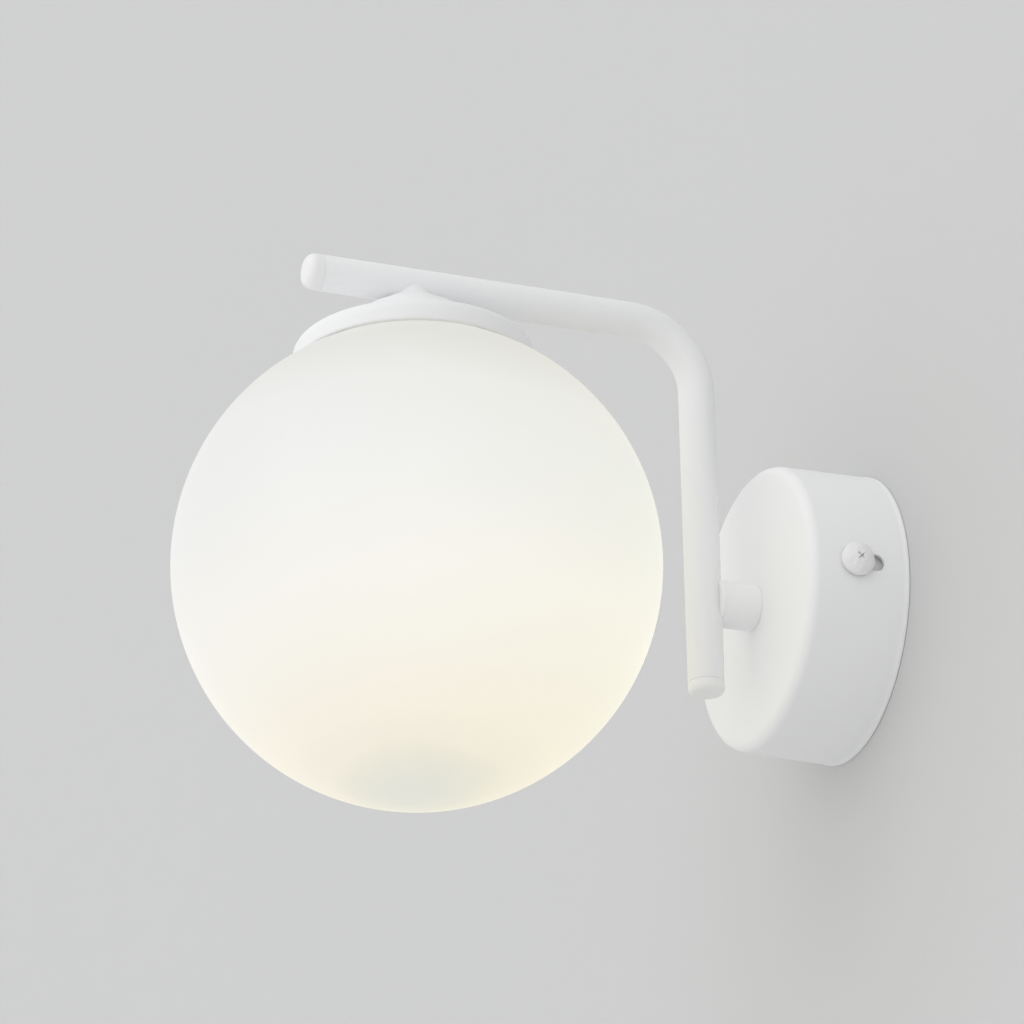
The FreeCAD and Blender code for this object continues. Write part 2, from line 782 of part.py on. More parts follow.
def makeLampholderContacts():
    body = newBody("lampholder_contacts", "0", "-globe_line")
    sketch = newSketch(body, "YZ", "pin_pitch - 1.2")
    trace(sketch, [
        ("-2.0", "48"), ("-1.6", "48"), ("-1.3", "52"), ("-1.6", "58.6"), ("1.6", "58.6"), ("1.3", "52"),
        ("1.6", "48"), ("2.0", "48"), ("1.75", "52"), ("2.0", "59.2"), ("-2.0", "59.2"), ("-1.75", "52"),
    ])
    grow(body, "Pad", sketch, "2.4")
    mirror(body)


def mirror(body):
    base = body.Tip
    feature = body.newObject("PartDesign::Mirrored", body.Name + "_mirror")
    feature.Originals = [base]
    plane = [item for item in body.Origin.OriginFeatures if item.Role == "YZ_Plane"][0]
    feature.MirrorPlane = (plane, [""])
    body.Tip = feature
    document.recompute()


def makeLampholderScrews():
    body = newBody("lampholder_screws", "0", "-globe_line")
    sketch = newSketch(body, "YZ", "6.4")
    circle(sketch, "0", "64.5", "1.25")
    grow(body, "Pad", sketch, "4.2")
    head = newSketch(body, "YZ", "10.4")
    circle(head, "0", "64.5", "2.5")
    grow(body, "Pad", head, "1.6")
    feature = body.newObject("PartDesign::Mirrored", "lampholder_screws_mirror")
    feature.Originals = [item for item in body.Group if item.isDerivedFrom("PartDesign::Pad")]
    plane = [item for item in body.Origin.OriginFeatures if item.Role == "YZ_Plane"][0]
    feature.MirrorPlane = (plane, [""])
    body.Tip = feature
    document.recompute()


def makeLamp():
    base = newBody("bulb_base", "0", "-globe_line")
    outline = newSketch(base, "XY", "lamp_neck - 2")
    box(outline, "-7.8", "-4.4", "7.8", "4.4")
    grow(base, "Pad", outline, "lamp_base - lamp_neck + 2")

    def upright(edge):
        return abs(edge.Length - number("lamp_base - lamp_neck + 2")) < 0.01

    soften(base, "2.6", upright)
    feet = newSketch(base, "XY", "lamp_base")
    for x in ("-pin_pitch", "pin_pitch"):
        for y in ("-0.9", "0.9"):
            circle(feet, x, y, "0.4")
    grow(base, "Pocket", feet, "3")
    envelope = spun("bulb_envelope", [
        ("lamp_radius - 1", "lamp_neck - 2"),
        ("lamp_radius", "lamp_neck - 2"),
        ("lamp_radius", "lamp_tip + lamp_radius", "right", "lamp_radius"),
        ("0", "lamp_tip"),
        ("0", "lamp_tip + 1", "left", "lamp_radius - 1"),
        ("lamp_radius - 1", "lamp_tip + lamp_radius"),
    ], y="-globe_line")
    board = newBody("led_board", "0", "-globe_line")
    strip = newSketch(board, "XY", "12")
    box(strip, "-4.2", "-0.6", "4.2", "0.6")
    grow(board, "Pad", strip, "lamp_neck - 2 - 12")
    return envelope


def makeLedChips():
    body = newBody("led_chips", "0", "-globe_line")
    sketch = newSketch(body, "XZ", "0.6")
    for x in ("-2.1", "2.1"):
        for i in range(5):
            z = "%.2f" % (14.2 + 3.5 * i)
            box(sketch, x + " - 1.1", z, x + " + 1.1", z + " + 1.9")
    grow(body, "Pad", sketch, "0.6")
    base = body.Tip
    feature = body.newObject("PartDesign::Mirrored", "led_chips_mirror")
    feature.Originals = [base]
    plane = [item for item in body.Origin.OriginFeatures if item.Role == "XZ_Plane"][0]
    feature.MirrorPlane = (plane, [""])
    body.Tip = feature
    document.recompute()


def makeLampPins():
    """Two wire loops of a G9 lamp, each bent over at its tip."""
    body = newBody("bulb_pins", "0", "-globe_line")
    spine = newSketch(body, "YZ", "pin_pitch")
    trace(spine, [
        ("-0.9", "lamp_base - 2.5"),
        ("-0.9", "56", "right", "0.95"),
        ("0.9", "56"),
        ("0.9", "lamp_base - 2.5"),
    ], closed=False)
    profile = newSketch(body, "XY", "lamp_base - 2.5")
    circle(profile, "pin_pitch", "-0.9", "0.35")
    document.recompute()
    pipe = body.newObject("PartDesign::AdditivePipe", "bulb_pins_pipe")
    pipe.Profile = profile
    pipe.Spine = (spine, ["Edge1", "Edge2", "Edge3"])
    body.Tip = pipe
    document.recompute()
    mirror(body)


def makeGlobe():
    """A blown globe with a short straight neck, a rounded throat outside and a fire-polished lip."""
    shell = "globe_radius - glass_wall"
    outer = "sqrt(globe_radius ^ 2 - neck_outer ^ 2) - globe_drop"
    inner = "sqrt((%s) ^ 2 - neck_inner ^ 2) - globe_drop" % shell
    body = spun("globe_glass", [
        ("neck_inner", "neck_top"),
        ("neck_outer", "neck_top"),
        ("neck_outer", outer, "right", "globe_radius"),
        ("0", "-globe_radius - globe_drop"),
        ("0", "-(%s) - globe_drop" % shell, "left", shell),
        ("neck_inner", inner),
    ], y="-globe_line")
    soften(body, "2", ringEdge(number(outer), number("neck_outer"), "z"))
    soften(body, "1.2", ringEdge(number("neck_top"), number("neck_outer"), "z"))
    soften(body, "1.2", ringEdge(number("neck_top"), number("neck_inner"), "z"))


# ---- wiring ----

def makeWires():
    path = [
        ("-wire_line", "20"),
        ("-wire_line", "5", "right", "5"),
        ("-wire_line - 5", "0"),
        ("6 - tube_line", "0", "right", "6"),
        ("-tube_line", "6"),
        ("-tube_line", "rod_height - tube_bend", "left", "tube_bend"),
        ("-tube_line - tube_bend", "rod_height"),
        ("6 - globe_line", "rod_height", "left", "6"),
        ("-globe_line", "rod_height - 6"),
        ("-globe_line", "64"),
    ]
    for name, side in (("wire_live", ""), ("wire_neutral", "-")):
        piped(name, "YZ", side + "wire_offset", path, ("XY", "20"),
              [(side + "wire_offset", "-wire_line", "wire_radius")])
    earth = [
        ("-wire_line", "20"),
        ("-wire_line", "-4", "right", "6"),
        ("-wire_line - 6", "-10", "left", "3.6"),
        ("-28.6", "-13.6"),
        ("-28.6", "-17"),
    ]
    piped("wire_earth", "YZ", "1.5 * pole_pitch", earth, ("XY", "20"),
          [("1.5 * pole_pitch", "-wire_line", "wire_radius")])


makeCanopyCup()
makeWallBracket()
makeMainsGrommet()
makeCanopyScrews()
makeTerminalPlate()
makeTerminalBlock()
makeFixingScrew()
makeTerminalSleeves()
makeTerminalScrews()
makeEarthParts()
makeEntryStack()
makeStub()
makeArmTube()
makeArmPlugs()
makeDish()
makeInnerStack()
makeGlobeSprings()
makeSpringRivets()
makeSeatRing()
makeLampholder()
makeLampholderContacts()
makeLampholderScrews()
makeLamp()
makeLedChips()
makeLampPins()
makeGlobe()
makeWires()
document.recompute()

for item in document.Objects:
    if "Invalid" in item.State or "Error" in item.State:
        raise ValueError("not built: " + item.Name)

os.makedirs("parts", exist_ok=True)
for body in parts:
    if body.Shape.isNull() or not body.Shape.isValid():
        raise ValueError("bad shape: " + body.Name)
    body.Shape.exportStep("parts/%s.step" % body.Label)
    print(body.Label, len(body.Shape.Solids), round(body.Shape.Volume, 2))
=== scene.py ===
from math import atan2, cos, pi, radians, sin, sqrt

import bpy
from mathutils import Euler, Matrix, Vector


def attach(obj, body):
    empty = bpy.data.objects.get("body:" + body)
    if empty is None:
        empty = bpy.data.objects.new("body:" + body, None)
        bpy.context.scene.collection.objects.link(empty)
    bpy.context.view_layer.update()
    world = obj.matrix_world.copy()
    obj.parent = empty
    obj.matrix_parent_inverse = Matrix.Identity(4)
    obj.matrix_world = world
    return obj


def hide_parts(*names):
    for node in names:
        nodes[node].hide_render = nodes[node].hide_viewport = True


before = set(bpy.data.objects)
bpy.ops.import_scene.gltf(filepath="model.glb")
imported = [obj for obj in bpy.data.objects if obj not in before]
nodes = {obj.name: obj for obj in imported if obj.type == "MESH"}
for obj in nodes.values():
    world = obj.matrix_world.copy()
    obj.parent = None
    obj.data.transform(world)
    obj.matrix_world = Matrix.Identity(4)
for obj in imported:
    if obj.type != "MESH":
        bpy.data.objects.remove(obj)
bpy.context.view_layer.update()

mm = 0.001

# The light is drawn in the CAD's own frame: the wall is y = 0, the room is towards -y.
# The pieces' dictionaries are in mm and degrees, those of the finishes and the room in metres.

merging = {"profile": 1e-7, "surface": 1e-6}
softEdge = {"segments": 2, "angle": 50}


def deselectAll():
    if bpy.context.object and bpy.context.object.mode != "OBJECT":
        bpy.ops.object.mode_set(mode="OBJECT")
    bpy.ops.object.select_all(action="DESELECT")


def pick(piece):
    deselectAll()
    piece.select_set(True)
    bpy.context.view_layer.objects.active = piece


def settle(piece):
    pick(piece)
    bpy.ops.object.transform_apply(location=True, rotation=True, scale=True)


def selectWhere(piece, test, kind="FACE"):
    # faces are tested by their normal, points by their place; starts and ends in edit mode
    bpy.ops.mesh.select_mode(type=kind)
    bpy.ops.mesh.select_all(action="DESELECT")
    bpy.ops.object.mode_set(mode="OBJECT")
    if kind == "FACE":
        for face in piece.data.polygons:
            face.select = test(face.normal)
    else:
        for point in piece.data.vertices:
            point.select = test(point.co)
    bpy.ops.object.mode_set(mode="EDIT")


def applyModifier(piece, kind, **settings):
    pick(piece)
    modifier = piece.modifiers.new(kind.lower(), kind)
    for key, value in settings.items():
        setattr(modifier, key, value)
    bpy.ops.object.modifier_apply(modifier=modifier.name)


def carve(piece, cutter):
    applyModifier(piece, "BOOLEAN", object=cutter, operation="DIFFERENCE", solver="EXACT")
    bpy.data.objects.remove(cutter, do_unlink=True)


def softenEdges(piece, width):
    applyModifier(piece, "BEVEL", width=width, segments=softEdge["segments"],
                  limit_method="ANGLE", angle_limit=radians(softEdge["angle"]),
                  harden_normals=False)


def cleanUp(piece, angle=35):
    pick(piece)
    bpy.ops.object.mode_set(mode="EDIT")
    bpy.ops.mesh.select_all(action="SELECT")
    bpy.ops.mesh.remove_doubles(threshold=merging["surface"])
    bpy.ops.mesh.normals_make_consistent(inside=False)
    bpy.ops.object.mode_set(mode="OBJECT")
    bpy.ops.object.shade_smooth_by_angle(angle=radians(angle))


def finishPiece(piece, name, material, body, slot, *replaced):
    piece.name = name
    piece.data.name = name
    piece.data.materials.clear()
    piece.data.materials.append(material)
    settle(piece)
    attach(piece, body)
    if replaced:
        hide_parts(*replaced)


def arcPoints(centre, radius, start, end, count):
    turns = [radians(start + (end - start) * i / count) for i in range(count + 1)]
    return [(centre[0] + radius * cos(turn), centre[1] + radius * sin(turn)) for turn in turns]


def bowPoints(start, finish, radius, count, side=1):
    # points of an arc from start to finish; side 1 puts its centre on the left of the way
    chord = Vector((finish[0] - start[0], finish[1] - start[1]))
    rise = sqrt(max(radius ** 2 - chord.length ** 2 / 4, 0)) * side
    across = Vector((-chord.y, chord.x)).normalized()
    centre = Vector(start) + chord / 2 + across * rise
    first = atan2(start[1] - centre.y, start[0] - centre.x)
    last = atan2(finish[1] - centre.y, finish[0] - centre.x)
    if side > 0 and last < first:
        last += 2 * pi
    if side < 0 and last > first:
        last -= 2 * pi
    turns = [first + (last - first) * i / count for i in range(count + 1)]
    return [(centre.x + radius * cos(turn), centre.y + radius * sin(turn)) for turn in turns]


def latheProfile(profile, axis="Z", centre=(0, 0, 0), steps=96, closed=True):
    # profile: (radius, level along the axis) in mm; one point is extruded from corner to corner,
    # and the line that it leaves is spun
    along = Vector({"Y": (0, 1, 0), "Z": (0, 0, 1)}[axis])

    def place(point):
        return Vector(centre) + (Vector((point[0], 0, 0)) + along * point[1]) * mm

    deselectAll()
    bpy.ops.mesh.primitive_plane_add(size=mm, location=place(profile[0]))
    piece = bpy.context.object
    settle(piece)
    bpy.ops.object.mode_set(mode="EDIT")
    bpy.ops.mesh.select_mode(type="VERT")
    bpy.ops.mesh.select_all(action="SELECT")
    bpy.ops.mesh.merge(type="CENTER")
    bpy.ops.mesh.select_all(action="SELECT")
    corners = profile + [profile[0]] if closed else profile
    for before, after in zip(corners, corners[1:]):
        step = place(after) - place(before)
        bpy.ops.mesh.extrude_vertices_move(TRANSFORM_OT_translate={"value": step})
    bpy.ops.mesh.select_all(action="SELECT")
    bpy.ops.mesh.remove_doubles(threshold=merging["profile"])
    bpy.ops.mesh.select_all(action="SELECT")
    bpy.ops.mesh.spin(steps=steps, angle=2 * pi, center=centre, axis=tuple(along))
    bpy.ops.mesh.select_all(action="SELECT")
    bpy.ops.mesh.remove_doubles(threshold=merging["surface"])
    bpy.ops.object.mode_set(mode="OBJECT")
    cleanUp(piece)
    return piece


def rodAlong(axis, radius, length, centre, vertices=96):
    # a plain round bar in metres, to cut with
    deselectAll()
    turn = {"X": (0, pi / 2, 0), "Y": (pi / 2, 0, 0), "Z": (0, 0, 0)}[axis]
    bpy.ops.mesh.primitive_cylinder_add(vertices=vertices, radius=radius, depth=length,
                                        location=centre, rotation=turn)
    piece = bpy.context.object
    settle(piece)
    return piece


class Field:
    # one output of a node, usable in sums
    def __init__(self, graph, socket):
        self.graph = graph
        self.socket = socket

    def calc(self, operation, a, b):
        return self.graph.add("ShaderNodeMath", {"operation": operation}, {0: a, 1: b})

    def __add__(self, other):
        return self.calc("ADD", self, other)

    def __sub__(self, other):
        return self.calc("SUBTRACT", self, other)

    def __rsub__(self, other):
        return self.calc("SUBTRACT", other, self)

    def __mul__(self, other):
        return self.calc("MULTIPLY", self, other)

    def __truediv__(self, other):
        return self.calc("DIVIDE", self, other)

    def atLeast(self, other):
        return self.calc("MAXIMUM", self, other)

    def blend(self, other, share):
        return self * share + other * (1 - share)

    def around(self, middle, spread):
        return self * spread + (middle - spread / 2)


class Graph:
    # a node tree with one way to add any node
    def __init__(self, tree):
        self.tree = tree

    def add(self, kind, settings=None, values=None, out=0):
        node = self.tree.nodes.new(kind)
        for key, value in (settings or {}).items():
            if key == "stops":
                self.setStops(node.color_ramp, value)
            else:
                setattr(node, key, value)
        for key, value in (values or {}).items():
            self.feed(node.inputs[key], value)
        return Field(self, node.outputs[out])

    def setStops(self, ramp, stops):
        while len(ramp.elements) < len(stops):
            ramp.elements.new(0.5)
        for element, (place, colour) in zip(ramp.elements, stops):
            element.position = place
            element.color = colour if hasattr(colour, "__len__") else (colour, colour, colour, 1)

    def feed(self, socket, value):
        if isinstance(value, Field):
            self.tree.links.new(value.socket, socket)
        else:
            socket.default_value = value


class Finish(Graph):
    # one material; its fixed values go straight on the shader
    def __init__(self, name, **fixed):
        self.material = bpy.data.materials.new(name)
        self.material.use_nodes = True
        super().__init__(self.material.node_tree)
        self.shader = self.tree.nodes["Principled BSDF"]
        for key, value in fixed.items():
            self.shader.inputs[key.replace("_", " ")].default_value = value

    def drive(self, **inputs):
        for key, value in inputs.items():
            self.feed(self.shader.inputs[key.replace("_", " ")], value)

    def place(self, scale=(1, 1, 1)):
        spot = self.add("ShaderNodeTexCoord", out="Object")
        return self.add("ShaderNodeMapping", {}, {"Vector": spot, "Scale": scale})

    def along(self, axis):
        spot = self.add("ShaderNodeTexCoord", out="Object")
        return self.add("ShaderNodeSeparateXYZ", {}, {0: spot}, out=axis)

    def noise(self, size, detail=2.0, roughness=0.5, spot=None):
        return self.add("ShaderNodeTexNoise", {}, {"Vector": spot or self.place(),
                                                   "Scale": 1 / size, "Detail": detail,
                                                   "Roughness": roughness})

    def ramp(self, value, *stops):
        return self.add("ShaderNodeValToRGB", {"stops": stops}, {0: value})

    def mix(self, mask, a, b):
        # 6, 7 and output 2 are the node's colour sockets
        return self.add("ShaderNodeMix", {"data_type": "RGBA"}, {0: mask, 6: a, 7: b}, out=2)

    def bump(self, height, depth, strength):
        self.drive(Normal=self.add("ShaderNodeBump", {}, {"Height": height, "Distance": depth,
                                                          "Strength": strength}))


coat = {"base": (0.904, 0.907, 0.914, 1), "low": (0.877, 0.88, 0.887, 1), "rough": 0.55,
        "grain": 0.00035, "ripple": 0.0022, "cloud": 0.03, "depth": 0.00003, "spread": 0.14}
capCoat = {"base": (0.9, 0.9, 0.9, 1), "low": (0.87, 0.87, 0.87, 1), "rough": 0.38,
           "grain": 0.0005}


def makePowderCoat(name, look):
    # fine matt powder coat: a tight grain over a soft orange-peel ripple
    look = {**coat, **look}
    finish = Finish(name, IOR=1.48)
    fine = finish.noise(look["grain"], detail=3, roughness=0.6)
    ripple = finish.noise(look["ripple"])
    cloud = finish.noise(look["cloud"], detail=3, roughness=0.55)
    finish.drive(Base_Color=finish.mix(cloud.blend(fine, 0.6), look["low"], look["base"]))
    finish.drive(Roughness=fine.around(look["rough"], look["spread"]))
    finish.bump(fine.blend(ripple, 0.6), look["depth"], 0.55)
    return finish.material


# the low colour is painted shade for the enamel's hollows
enamel = {"base": (0.92, 0.92, 0.93, 1), "low": (0.80, 0.80, 0.80, 1), "rough": 0.34,
          "spread": 0.2, "lump": 0.0022, "crease": 0.0012, "depth": 0.0006}


def makePooledEnamel():
    # enamel that has pooled over a screw head: lumps, small creases, and painted shade darkening
    # the hollows
    finish = Finish("screwEnamel", IOR=1.5)
    lump = finish.noise(enamel["lump"])
    crease = finish.noise(enamel["crease"], detail=4, roughness=0.65)
    # painted shade: the colour goes darker where the lumps and creases dip
    finish.drive(Base_Color=finish.mix(lump.blend(crease, 0.5), enamel["low"], enamel["base"]))
    finish.drive(Roughness=crease.around(enamel["rough"], enamel["spread"]))
    finish.bump(lump.blend(crease, 0.7), enamel["depth"], 0.7)
    return finish.material


plating = {"lines": 0.0006, "cloud": 0.009, "warm": (1.05, 0.985, 0.93), "depth": 0.00001}


def makePlated(name, tint, roughness, stretch):
    # bright metal with faint rolling lines and slightly warmer clouds
    finish = Finish(name, Metallic=1.0, IOR=1.5)
    lines = finish.noise(plating["lines"], detail=3, roughness=0.6, spot=finish.place(stretch))
    cloud = finish.noise(plating["cloud"], detail=4, roughness=0.6)
    warm = tuple(value * factor for value, factor in zip(tint, plating["warm"])) + (1,)
    finish.drive(Base_Color=finish.mix(cloud, tint, warm))
    finish.drive(Roughness=lines * 0.2 + cloud * 0.1 + (roughness - 0.15))
    finish.bump(lines, plating["depth"], 0.35)
    return finish.material


plastic = {"cloud": 0.006, "spread": 0.16}


def makePlastic(name, colour, dark, roughness, grain=0.0003, depth=0.00001):
    finish = Finish(name, IOR=1.47)
    fine = finish.noise(grain, detail=3, roughness=0.6)
    cloud = finish.noise(plastic["cloud"], detail=3)
    finish.drive(Base_Color=finish.mix(cloud, dark, colour))
    finish.drive(Roughness=fine.around(roughness, plastic["spread"]))
    finish.bump(fine, depth, 0.4)
    return finish.material


glaze = {"body": (0.86, 0.84, 0.78, 1), "speckle": (0.66, 0.6, 0.5, 1), "speck": 0.0009,
         "amount": 0.35, "pool": 0.004, "rough": 0.35, "spread": 0.2, "depth": 0.00004}


def makeCeramic():
    # glazed steatite: pooled glaze over a slightly speckled body
    finish = Finish("glazedSteatite", IOR=1.52, Coat_Weight=0.5, Coat_Roughness=0.12)
    speck = finish.ramp(finish.noise(glaze["speck"], roughness=0.7), (0.62, 0), (0.72, 1))
    pool = finish.noise(glaze["pool"])
    finish.drive(Base_Color=finish.mix(speck * glaze["amount"], glaze["body"], glaze["speckle"]))
    finish.drive(Roughness=pool.around(glaze["rough"], glaze["spread"]))
    finish.bump(pool, glaze["depth"], 0.4)
    return finish.material


# the glow's stops go up the globe, those of wallward go towards the wall; both are painted light
# standing in for the bulb inside and for how the globe is lit
opal = {
    "middle": {"y": -0.14425, "z": -0.0015}, "radius": 0.075,
    "crown": (0.27, 0.272, 0.268, 1), "belly": (0.28, 0.279, 0.272, 1),
    "foot": (0.26, 0.257, 0.245, 1), "rough": 0.46,
    "swirl": 0.035, "etch": 0.0004, "depth": 0.000008,
    "glow": ((0.0, (0.595, 0.595, 0.54, 1)), (0.018, (0.645, 0.63, 0.535, 1)),
             (0.035, (0.71, 0.67, 0.56, 1)), (0.08, (0.75, 0.705, 0.59, 1)),
             (0.17, (0.743, 0.715, 0.632, 1)), (0.31, (0.743, 0.726, 0.67, 1)),
             (0.475, (0.683, 0.683, 0.66, 1)), (0.564, (0.66, 0.67, 0.65, 1)),
             (0.72, (0.622, 0.627, 0.61, 1)), (0.87, (0.525, 0.522, 0.495, 1)),
             (1.0, (0.484, 0.484, 0.462, 1))),
    "wallward": ((0.0, (0.835, 0.835, 0.845, 1)), (0.12, (0.895, 0.895, 0.90, 1)),
                 (0.325, (0.94, 0.938, 0.93, 1)), (1.0, (1.0, 0.99, 0.9, 1))),
}


def makeOpalGlass():
    # satin etched opal, a shell lit by painted light: warm low down, cooler at the crown, greyer
    # at the very foot, and brighter towards the wall
    finish = Finish("satinOpalGlass", IOR=1.5, Specular_IOR_Level=0.3, Emission_Strength=1.0)
    wallward = (finish.along("Y") - opal["middle"]["y"]) / opal["radius"]
    low = opal["middle"]["z"] - opal["radius"]
    level = (finish.along("Z") - low) / (2 * opal["radius"])
    swirl = finish.noise(opal["swirl"], detail=3)
    etched = finish.noise(opal["etch"], roughness=0.6)
    # painted shade: the body colour is a little darker at the foot
    body = finish.ramp(level + (swirl - 0.5) * 0.06, (0.0, opal["foot"]), (0.22, opal["belly"]),
                       (0.6, opal["belly"]), (1.0, opal["crown"]))
    finish.drive(Base_Color=body)
    # painted light: the emission stands in for the bulb's light, its strength and warmth changing
    # with height
    glow = finish.ramp(level + (swirl - 0.5) * 0.03, *opal["glow"])
    # painted light: the glow grows towards the wall, evening out the room light's shading
    paintedWallwardGlow = finish.ramp(wallward * 0.5 + 0.5, *opal["wallward"])
    paintedGlowColour = finish.add("ShaderNodeVectorMath", {"operation": "MULTIPLY"}, {0: glow, 1: paintedWallwardGlow})
    finish.drive(Emission_Color=paintedGlowColour)
    finish.drive(Roughness=etched * 0.1 + swirl * 0.06 + opal["rough"])
    finish.bump(etched, opal["depth"], 0.3)
    return finish.material


frost = {"base": (0.97, 0.97, 0.95, 1), "low": (0.93, 0.93, 0.9, 1), "rough": 0.45,
         "spread": 0.2, "grain": 0.0003, "depth": 0.000006}


def makeFrosted():
    finish = Finish("frostedShell", IOR=1.45, Transmission_Weight=0.85)
    fine = finish.noise(frost["grain"], detail=3, roughness=0.6)
    finish.drive(Base_Color=finish.mix(fine, frost["low"], frost["base"]))
    finish.drive(Roughness=fine.around(frost["rough"], frost["spread"]))
    finish.bump(fine, frost["depth"], 0.4)
    return finish.material


wallPaint = {"base": (0.615, 0.617, 0.619, 1), "low": (0.60, 0.602, 0.604, 1),
             "roller": 0.004, "cloud": 0.5, "depth": 0.00003}


def makeWallPaint():
    # smooth matt wall; from behind it isn't seen, so the back of the light shows
    finish = Finish("wallPaint", Roughness=0.9, IOR=1.3)
    roller = finish.noise(wallPaint["roller"], detail=3, roughness=0.6)
    cloud = finish.noise(wallPaint["cloud"])
    finish.drive(Base_Color=finish.mix(cloud.blend(roller, 0.7), wallPaint["low"],
                                       wallPaint["base"]))
    finish.bump(roller, wallPaint["depth"], 0.15)
    behind = finish.add("ShaderNodeNewGeometry", out="Backfacing")
    painted = Field(finish, finish.shader.outputs[0])
    clear = finish.add("ShaderNodeBsdfTransparent")
    shown = finish.add("ShaderNodeMixShader", {}, {0: behind, 1: painted, 2: clear})
    finish.feed(finish.tree.nodes["Material Output"].inputs["Surface"], shown)
    return finish.material


earth = {"green": (0.02, 0.3, 0.06, 1), "yellow": (0.8, 0.65, 0.03, 1),
         "line": 0.0072, "width": 0.0006, "grain": 0.0003, "depth": 0.00001}


def makeEarthInsulation():
    # green with a yellow stripe along the wire
    finish = Finish("earthInsulation", IOR=1.47, Roughness=0.4)
    stripe = finish.ramp((finish.along("X") - earth["line"]) / earth["width"],
                         (0.45, 0), (0.55, 1))
    finish.drive(Base_Color=finish.mix(stripe, earth["green"], earth["yellow"]))
    finish.bump(finish.noise(earth["grain"], detail=3, roughness=0.6), earth["depth"], 0.4)
    return finish.material


white = makePowderCoat("whitePowderCoat", coat)
capWhite = makePowderCoat("capEnamel", capCoat)
screwWhite = makePooledEnamel()
zinc = makePlated("zincPlate", (0.72, 0.73, 0.75, 1), 0.32, (1, 1, 8))
passivated = makePlastic("passivatedBar", (0.87, 0.875, 0.88, 1), (0.80, 0.805, 0.81, 1), 0.42,
                         grain=0.0006)
steel = makePlated("plainSteel", (0.6, 0.6, 0.61, 1), 0.36, (1, 6, 1))
spring = makePlated("springSteel", (0.46, 0.47, 0.5, 1), 0.26, (6, 1, 1))
brass = makePlated("turnedBrass", (0.80, 0.62, 0.3, 1), 0.28, (1, 1, 8))
bronze = makePlated("phosphorBronze", (0.74, 0.46, 0.28, 1), 0.3, (6, 1, 1))
blockPlastic = makePlastic("blockPlastic", (0.84, 0.83, 0.79, 1), (0.8, 0.79, 0.74, 1), 0.5)
lampPlastic = makePlastic("lampPlastic", (0.87, 0.87, 0.85, 1), (0.83, 0.83, 0.8, 1), 0.42)
boardCoat = makePlastic("boardCoat", (0.86, 0.87, 0.85, 1), (0.8, 0.81, 0.78, 1), 0.4)
phosphor = makePlastic("phosphorGel", (0.93, 0.72, 0.16, 1), (0.86, 0.6, 0.1, 1), 0.3)
rubber = makePlastic("blackRubber", (0.03, 0.03, 0.03, 1), (0.02, 0.02, 0.02, 1), 0.72,
                     grain=0.0004, depth=0.00003)
silicone = makePlastic("paleSilicone", (0.8, 0.8, 0.79, 1), (0.75, 0.75, 0.74, 1), 0.45)
brownWire = makePlastic("brownInsulation", (0.2, 0.075, 0.03, 1), (0.15, 0.05, 0.02, 1), 0.4)
blueWire = makePlastic("blueInsulation", (0.03, 0.16, 0.55, 1), (0.02, 0.12, 0.42, 1), 0.4)
earthWire = makeEarthInsulation()
ceramic = makeCeramic()
opalGlass = makeOpalGlass()
frosted = makeFrosted()

# the CAD's pieces that stay as they are, with their finishes
carried = {
    "wall_bracket": passivated, "mains_grommet": rubber, "terminal_plate": zinc,
    "terminal_block": blockPlastic, "terminal_sleeves": brass, "terminal_screws": zinc,
    "terminal_fixing_screw": zinc, "earth_screw": zinc, "earth_lug": brass,
    "entry_nipple": zinc, "entry_nut": zinc, "entry_washer": steel, "holder_nipple": zinc,
    "distance_sleeve": zinc, "holder_nut": zinc, "spring_plate": zinc, "globe_springs": spring,
    "spring_rivets": steel, "seat_ring": silicone, "lampholder_bracket": zinc,
    "lampholder_body": ceramic, "lampholder_contacts": bronze, "lampholder_screws": zinc,
    "bulb_base": lampPlastic, "bulb_pins": steel, "led_board": boardCoat,
    "led_chips": phosphor, "wire_live": brownWire, "wire_neutral": blueWire,
    "wire_earth": earthWire,
}
for node, material in carried.items():
    mesh = nodes[node].data
    if not mesh.materials:
        mesh.materials.append(material)
    for i in range(len(mesh.materials)):
        mesh.materials[i] = material
print("finishes ready")


# levels run along y from the wall; bead and mouth are (over the radius, level)
canopy = {"rear": 45.23, "front": 44.7, "depth": 32.6, "wall": 1.2, "edge": 3.4, "hole": 5.2,
          "rings": (9, 18, 27), "slotNear": 8.3, "slotFar": 20.6, "slotWidth": 5.5,
          "bead": ((0, -1.4), (0.16, -1.0), (0.2, -0.7), (0.2, -0.1), (0.1, 0)),
          "mouth": ((0.12, 0), (0, -0.15)), "cut": 120, "steps": 192}


